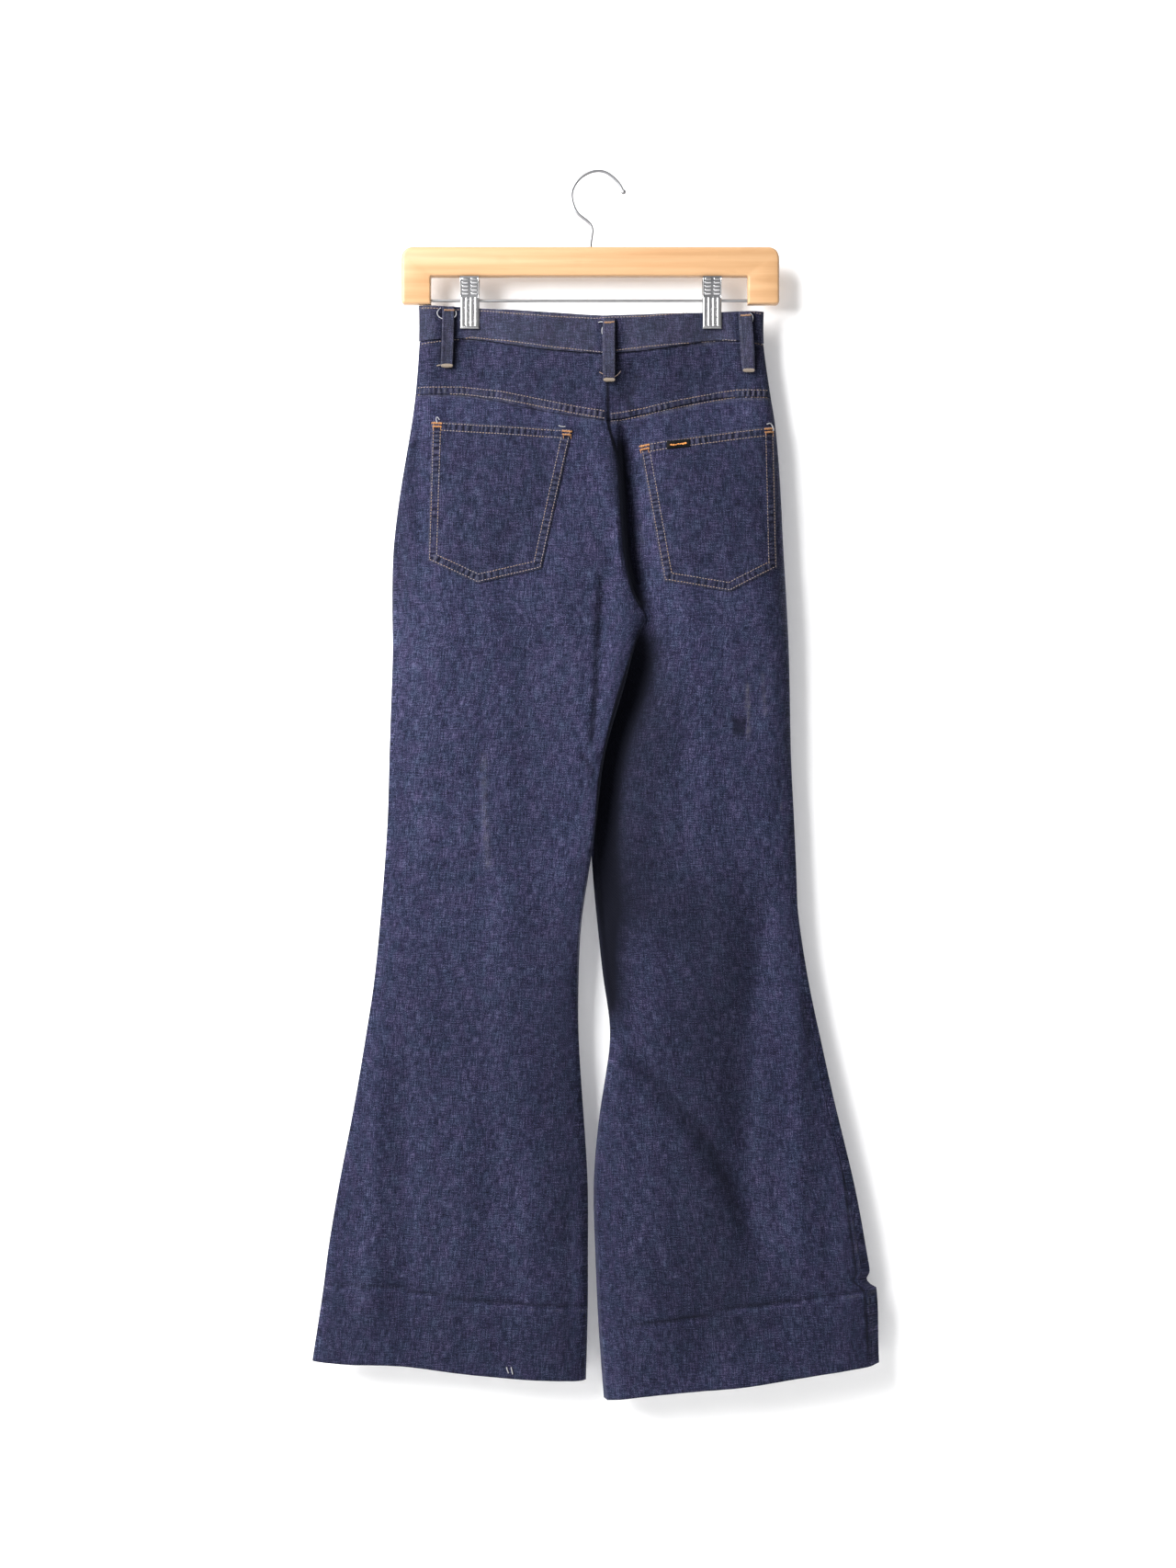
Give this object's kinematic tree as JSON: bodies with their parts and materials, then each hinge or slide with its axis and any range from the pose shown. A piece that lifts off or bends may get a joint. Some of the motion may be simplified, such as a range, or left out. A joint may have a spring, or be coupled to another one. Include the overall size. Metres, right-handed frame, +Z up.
{
  "type": "bootcut jeans",
  "caption": "Flared denim jeans seen from the seat side, hung by the waistband from a wooden clip hanger with a wire hook.",
  "frame": {"origin": "the highest point inside the hook of the hanger, where it hangs", "axes": "+Z up, the seat of the jeans faces -Y, the fly faces +Y, and +X is the wearer's right"},
  "size_m": [0.5727, 0.0449, 1.2423],
  "materials": {
    "denim": "dark indigo slubby denim, dull with a faint sheen",
    "label": "black woven tape with plain orange marks",
    "button": "aged brass",
    "hanger_wood": "clear satin lacquer on pale wood",
    "hanger_steel": "bright plated steel"
  },
  "bodies": {
    "root": {"waistband": "denim", "yoke_left": "denim", "yoke_right": "denim", "back_left": "denim", "back_right": "denim", "front_left": "denim", "front_right": "denim", "pocket_facing_left": "denim", "pocket_facing_right": "denim", "seat_pocket_left": "denim", "seat_pocket_right": "denim", "pocket_tab": "label", "fly": "denim", "belt_loop_seat_left": "denim", "belt_loop_seat_middle": "denim", "belt_loop_seat_right": "denim", "belt_loop_fly_left": "denim", "belt_loop_fly_right": "denim", "waist_button": "button", "hanger_bar": "hanger_wood", "hanger_rod": "hanger_steel", "hanger_hook": "hanger_steel", "clip_left_seat_jaw": "hanger_steel", "clip_left_fly_jaw": "hanger_steel", "clip_left_sleeve": "hanger_steel", "clip_right_seat_jaw": "hanger_steel", "clip_right_fly_jaw": "hanger_steel", "clip_right_sleeve": "hanger_steel"}
  },
  "joints": []
}
